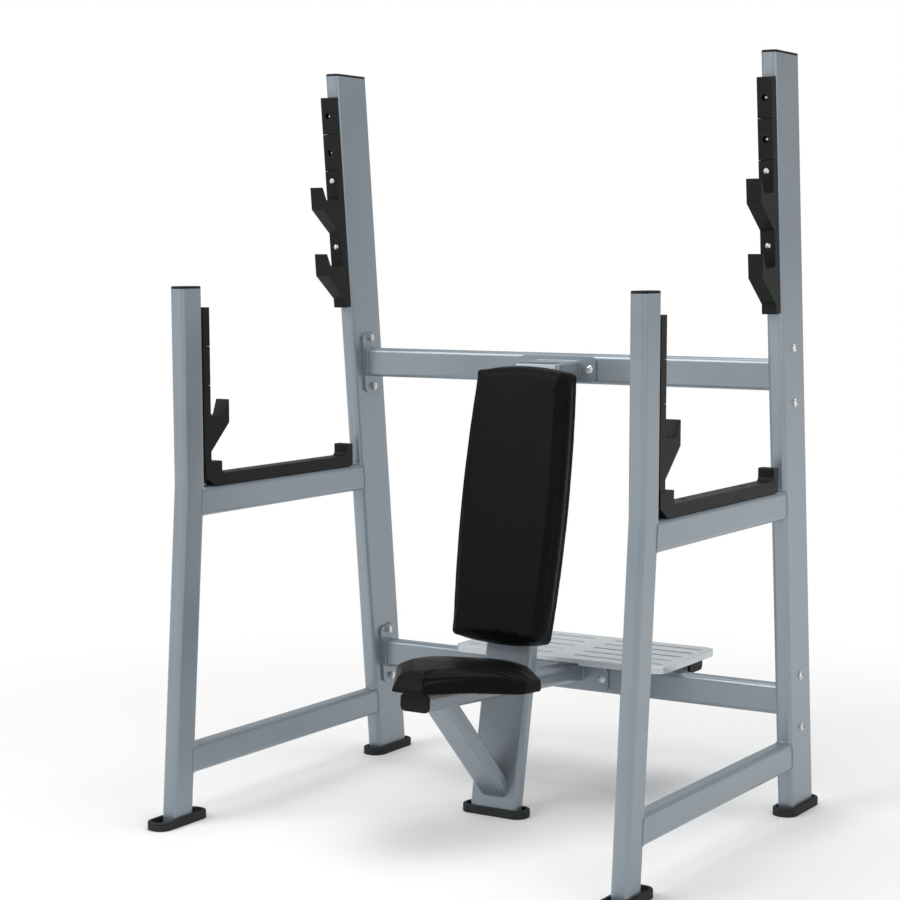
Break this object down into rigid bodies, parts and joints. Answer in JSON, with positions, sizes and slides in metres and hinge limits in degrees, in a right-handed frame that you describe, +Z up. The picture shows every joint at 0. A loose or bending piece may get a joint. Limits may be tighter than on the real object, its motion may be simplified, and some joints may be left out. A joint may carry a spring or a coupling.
{
  "type": "shoulder press bench",
  "caption": "Seated barbell shoulder-press bench: tubular side frames with bar hooks and catch trays, a reclined back pad, saddle seat and slotted spotter platform.",
  "frame": {"origin": "on the floor at the centre of the whole footprint", "axes": "+Z up, the sitter faces -Y, +X to the right seen from the front"},
  "size_m": [1.262, 1.151, 1.794],
  "materials": {
    "frame_paint": "satin metallic powder coat",
    "tread_paint": "satin metallic powder coat",
    "hook_plastic": "satin",
    "cap_plastic": "satin",
    "boot_rubber": "matt",
    "upholstery": "satin vinyl",
    "plywood": "raw",
    "bright_steel": "zinc plated"
  },
  "bodies": {
    "root": {"back_board": "plywood", "back_brackets": "frame_paint", "back_pad": "upholstery", "brace": "frame_paint", "centre_boot": "boot_rubber", "centre_column": "frame_paint", "column_cap": "frame_paint", "crossbar_bolts": "bright_steel", "crossbar_flanges": "frame_paint", "crossbar_washers": "bright_steel", "hex_nuts": "bright_steel", "hook_screws": "bright_steel", "left_catch_tray": "hook_plastic", "left_front_boot": "boot_rubber", "left_front_cap": "cap_plastic", "left_front_hook": "hook_plastic", "left_front_post": "frame_paint", "left_front_spacers": "hook_plastic", "left_lower_side_bar": "frame_paint", "left_platform_arm": "frame_paint", "left_platform_cap": "cap_plastic", "left_rear_boot": "boot_rubber", "left_rear_cap": "cap_plastic", "left_rear_hook": "hook_plastic", "left_rear_post": "frame_paint", "left_rear_spacers": "hook_plastic", "left_upper_side_bar": "frame_paint", "lower_crossbar": "frame_paint", "lower_saddle_plate": "frame_paint", "lower_strut": "frame_paint", "pad_screws": "bright_steel", "platform_tread": "tread_paint", "platform_tube": "frame_paint", "right_catch_tray": "hook_plastic", "right_front_boot": "boot_rubber", "right_front_cap": "cap_plastic", "right_front_hook": "hook_plastic", "right_front_post": "frame_paint", "right_front_spacers": "hook_plastic", "right_lower_side_bar": "frame_paint", "right_platform_arm": "frame_paint", "right_platform_cap": "cap_plastic", "right_rear_boot": "boot_rubber", "right_rear_cap": "cap_plastic", "right_rear_hook": "hook_plastic", "right_rear_post": "frame_paint", "right_rear_spacers": "hook_plastic", "right_upper_side_bar": "frame_paint", "saddle_bolts": "bright_steel", "seat_board": "plywood", "seat_brackets": "frame_paint", "seat_pad": "upholstery", "seat_tube": "frame_paint", "seat_tube_cap": "cap_plastic", "spacer_screws": "bright_steel", "top_stub": "frame_paint", "tray_screws": "bright_steel", "upper_crossbar": "frame_paint", "upper_saddle_plate": "frame_paint"}
  },
  "joints": []
}
